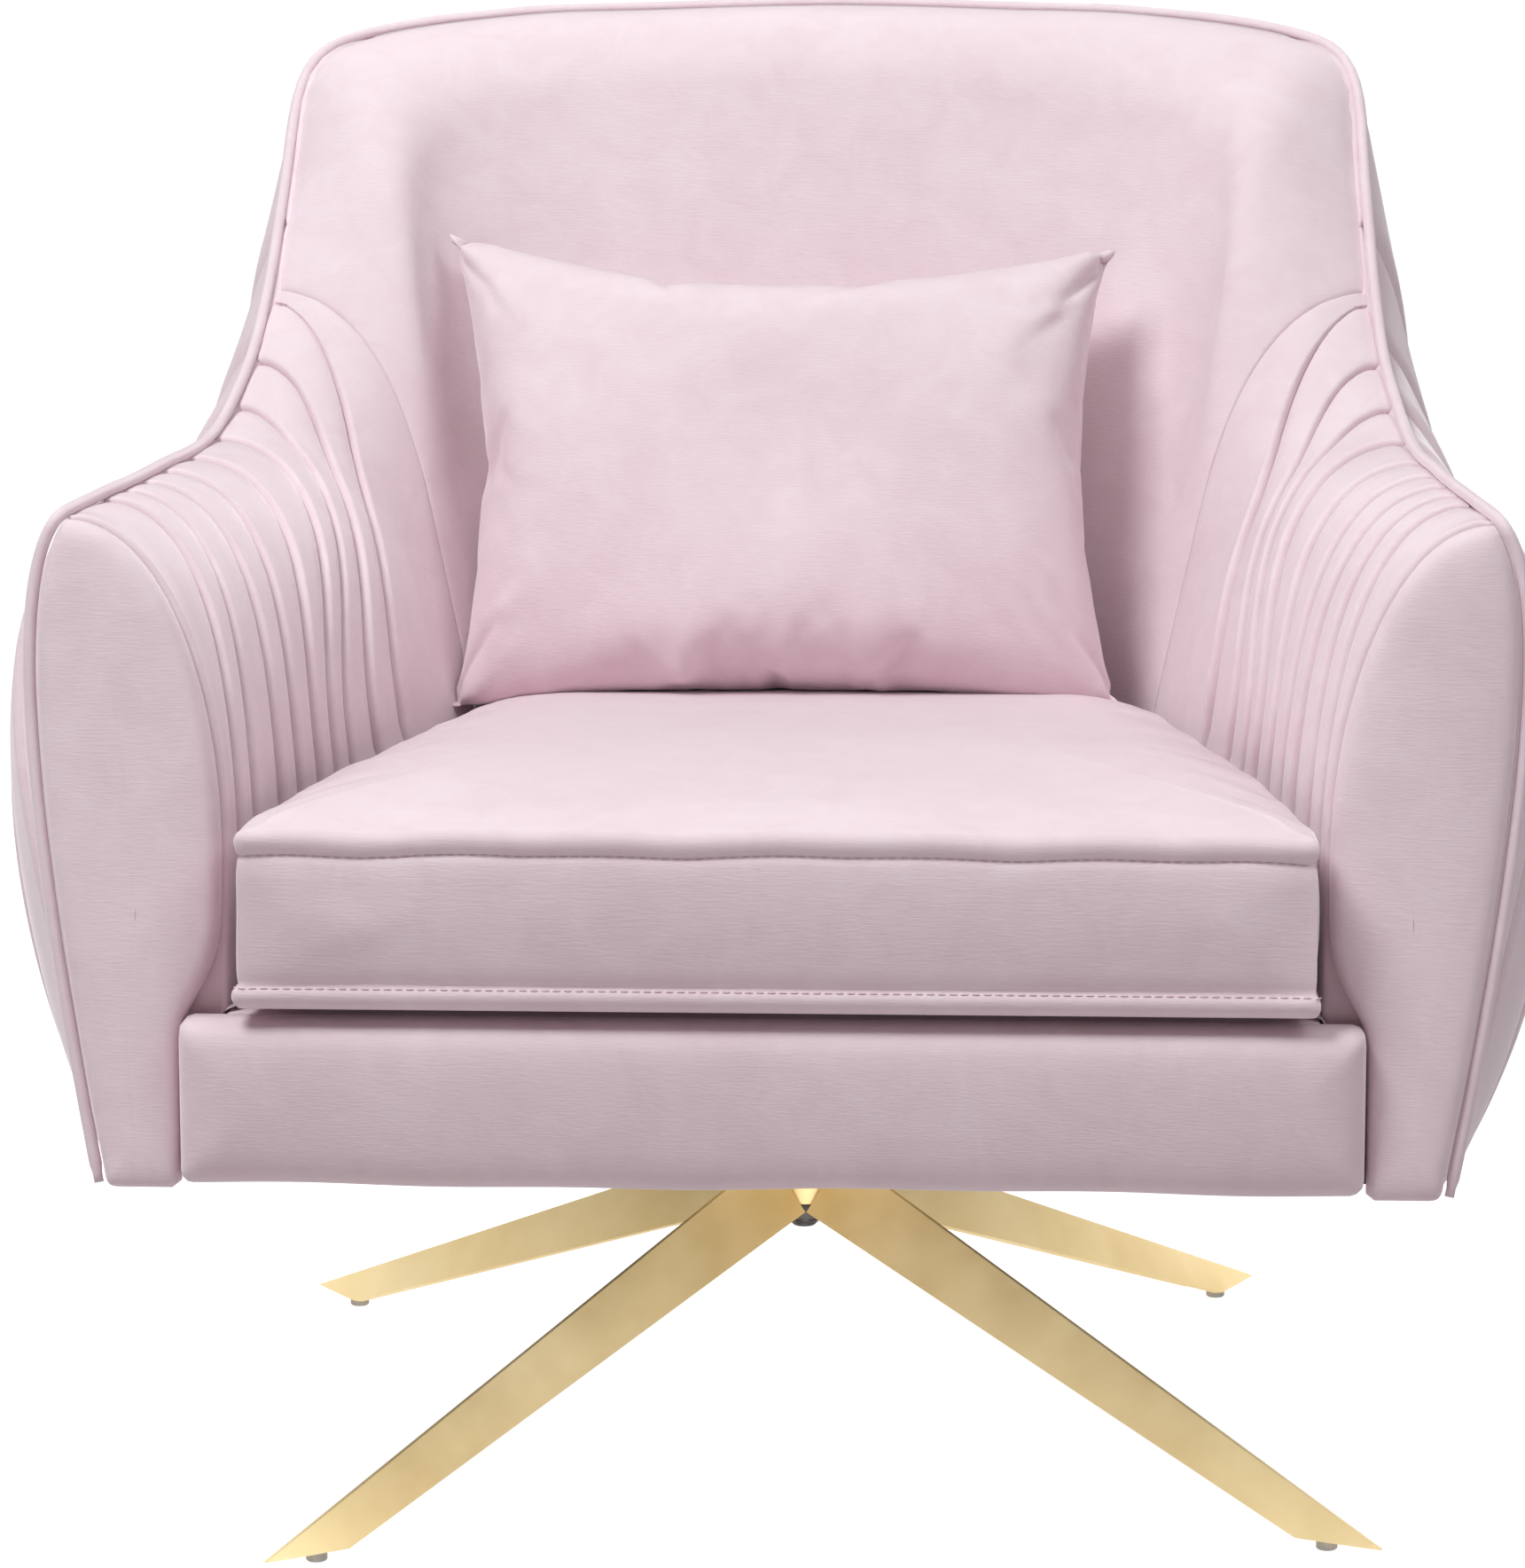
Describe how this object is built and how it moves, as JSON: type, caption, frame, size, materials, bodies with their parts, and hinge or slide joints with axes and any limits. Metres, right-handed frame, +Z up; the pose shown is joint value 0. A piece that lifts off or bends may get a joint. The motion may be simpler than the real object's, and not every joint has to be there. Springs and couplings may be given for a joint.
{
  "type": "swivel armchair",
  "caption": "Low upholstered swivel armchair with pleated arms, piped edge, loose box cushion and lumbar pillow, on a four-leg brass-finished star base.",
  "frame": {"origin": "on the floor, under the swivel axis, which is the middle of the chair's plan", "axes": "+Z up along the swivel axis, -Y the way the seat faces, +X towards the sitter's left"},
  "size_m": [0.856, 0.7716, 0.8431],
  "materials": {
    "velvet": "blush pink short-pile velvet",
    "brass_finish": "brushed",
    "steel": "zinc plated",
    "wood": "bare",
    "lining": "non-woven",
    "glide": "matt"
  },
  "bodies": {
    "base": {"leg_front_left": "brass_finish", "leg_front_right": "brass_finish", "leg_rear_left": "brass_finish", "leg_rear_right": "brass_finish", "foot_plate_front_left": "brass_finish", "foot_plate_front_right": "brass_finish", "foot_plate_rear_left": "brass_finish", "foot_plate_rear_right": "brass_finish", "glide_front_left": "glide", "glide_front_right": "glide", "glide_rear_left": "glide", "glide_rear_right": "glide", "column": "brass_finish", "base_plate": "brass_finish", "lower_swivel_plate": "steel", "bearing_ring": "steel", "spindle_bolt": "steel", "spindle_washer": "steel", "spindle_locknut": "steel"},
    "seat": {"arm_front_left": "velvet", "arm_front_right": "velvet", "arm_pad_left": "velvet", "arm_pad_right": "velvet", "back_pad": "velvet", "front_border": "velvet", "outer_back_panel": "velvet", "side_panel_left": "velvet", "side_panel_right": "velvet", "welt": "velvet", "front_rail": "wood", "rear_rail": "wood", "side_rail_left": "wood", "side_rail_right": "wood", "cross_slat_front": "wood", "cross_slat_rear": "wood", "arm_ply_left": "wood", "arm_ply_right": "wood", "back_ply": "wood", "deck_pad": "lining", "dust_cover": "lining", "upper_swivel_plate": "steel", "plate_bolt_front_left": "steel", "plate_bolt_front_right": "steel", "plate_bolt_rear_left": "steel", "plate_bolt_rear_right": "steel", "seat_spring_1": "steel", "seat_spring_2": "steel", "seat_spring_3": "steel", "seat_spring_4": "steel", "seat_spring_5": "steel"},
    "seat_cushion": {"seat_cushion": "velvet"},
    "pillow": {"pillow": "velvet"}
  },
  "joints": [
    {"name": "swivel", "type": "hinge", "parent": "base", "child": "seat", "pos_m": [0, 0, 0.2], "axis": [0, 0, 1], "continuous": true},
    {"name": "cushion_lift", "type": "slide", "parent": "seat", "child": "seat_cushion", "axis": [0, 0, 1], "range_m": [0, 0.25]},
    {"name": "pillow_lift", "type": "slide", "parent": "seat_cushion", "child": "pillow", "axis": [0, 0, 1], "range_m": [0, 0.2]}
  ]
}
